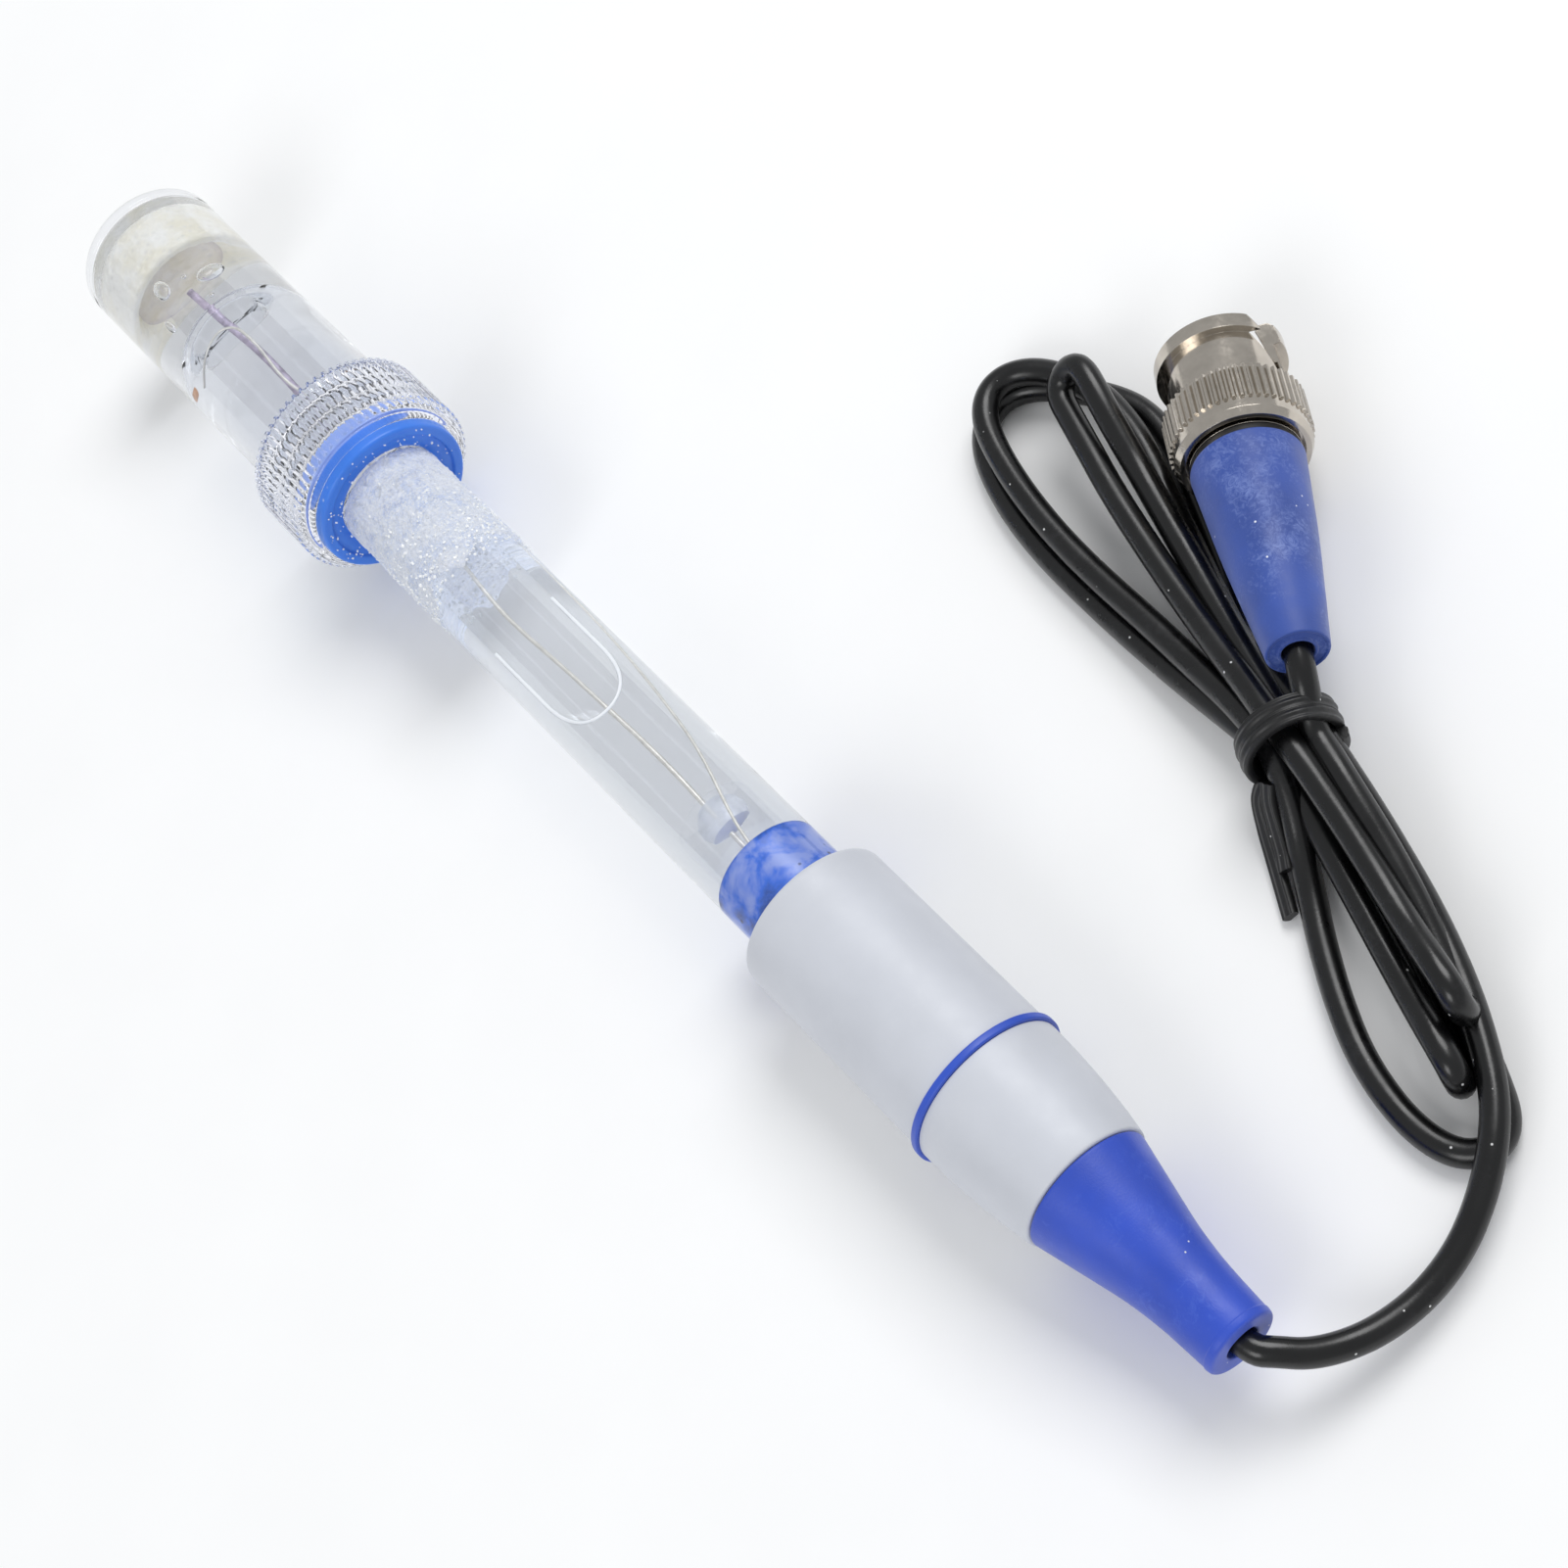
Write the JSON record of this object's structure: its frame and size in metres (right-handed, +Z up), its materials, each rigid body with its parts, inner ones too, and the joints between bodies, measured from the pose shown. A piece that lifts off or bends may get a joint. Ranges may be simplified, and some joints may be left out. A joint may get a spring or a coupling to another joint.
{
  "type": "laboratory pH electrode",
  "caption": "Glass-body combination pH electrode stored in its soaking bottle, with a coiled cable held by a wire tie and a bayonet coaxial plug.",
  "frame": {"origin": "centre of the bottom of the box round the electrode in its bottle, on the surface it lies on", "axes": "+X along the electrode from the bottle towards the strain relief, +Z up, the cable and plug lie towards +Y"},
  "size_m": [0.1925, 0.0838, 0.0219],
  "materials": {
    "clear_glass": "clear",
    "bulb_glass": "clear",
    "ceramic": "matte",
    "coated_silver": "satin",
    "silver": "bright",
    "electrolyte": "clear liquid",
    "white_seal": "satin",
    "blue_stopper": "gloss",
    "grey_handle": "satin",
    "resin": "gloss",
    "blue_ring": "satin",
    "blue_rubber": "satin",
    "clear_bottle": "clear",
    "sponge": "matte",
    "solution": "clear liquid",
    "gasket": "satin",
    "cable": "satin",
    "tie": "satin",
    "nickel": "polished plating",
    "insulator": "satin",
    "gold_contact": "polished",
    "black_ring": "matte",
    "blue_boot": "matte",
    "seal_rubber": "satin"
  },
  "bodies": {
    "electrode": {"body_tube": "clear_glass", "inner_stem": "bulb_glass", "ceramic_junction": "ceramic", "measuring_wire": "coated_silver", "reference_wire": "silver", "reference_electrolyte": "electrolyte", "stem_seal": "white_seal", "stopper": "blue_stopper", "handle_front": "grey_handle", "handle_rear": "grey_handle", "potting": "resin", "trim_ring": "blue_ring", "strain_relief": "blue_rubber", "cable_lead": "cable", "cable_hank": "cable", "cable_tail": "cable", "cable_tie": "tie", "plug_body": "nickel", "plug_seal": "seal_rubber", "plug_clip": "nickel", "plug_insulator": "insulator", "contact_pin": "gold_contact", "rear_ring": "black_ring", "plug_boot": "blue_boot"},
    "gasket": {"bottle_gasket": "gasket"},
    "cap": {"bottle_cap": "clear_bottle"},
    "bottle": {"bottle": "clear_bottle", "sponge": "sponge", "storage_solution": "solution"},
    "washer": {"spring_washer": "nickel"},
    "sleeve": {"plug_sleeve": "nickel"}
  },
  "joints": [
    {"name": "gasket_pull", "type": "slide", "parent": "electrode", "child": "gasket", "axis": [-0.9998, 0, 0.0209], "range_m": [0, 0.08]},
    {"name": "bottle_unscrew", "type": "slide", "parent": "gasket", "child": "bottle", "axis": [-0.9998, 0, 0.0209], "range_m": [0, 0.008]},
    {"name": "cap_turn", "type": "hinge", "parent": "gasket", "child": "cap", "pos_m": [-0.04639, 0, 0.01093], "axis": [0.9998, 0, -0.0209], "range_deg": [0, 1200]},
    {"name": "sleeve_turn", "type": "hinge", "parent": "electrode", "child": "washer", "pos_m": [0.02832, 0.06207, 0.00841], "axis": [0.852, -0.4939, 0.1736], "continuous": true},
    {"name": "sleeve_push", "type": "slide", "parent": "washer", "child": "sleeve", "axis": [-0.852, 0.4939, -0.1736], "range_m": [0, 0.0006], "stiffness_N_per_m": 2000}
  ],
  "couplings": [
    {"joint": "cap_turn", "follows": "bottle_unscrew", "rad_per_m": 2618}
  ]
}
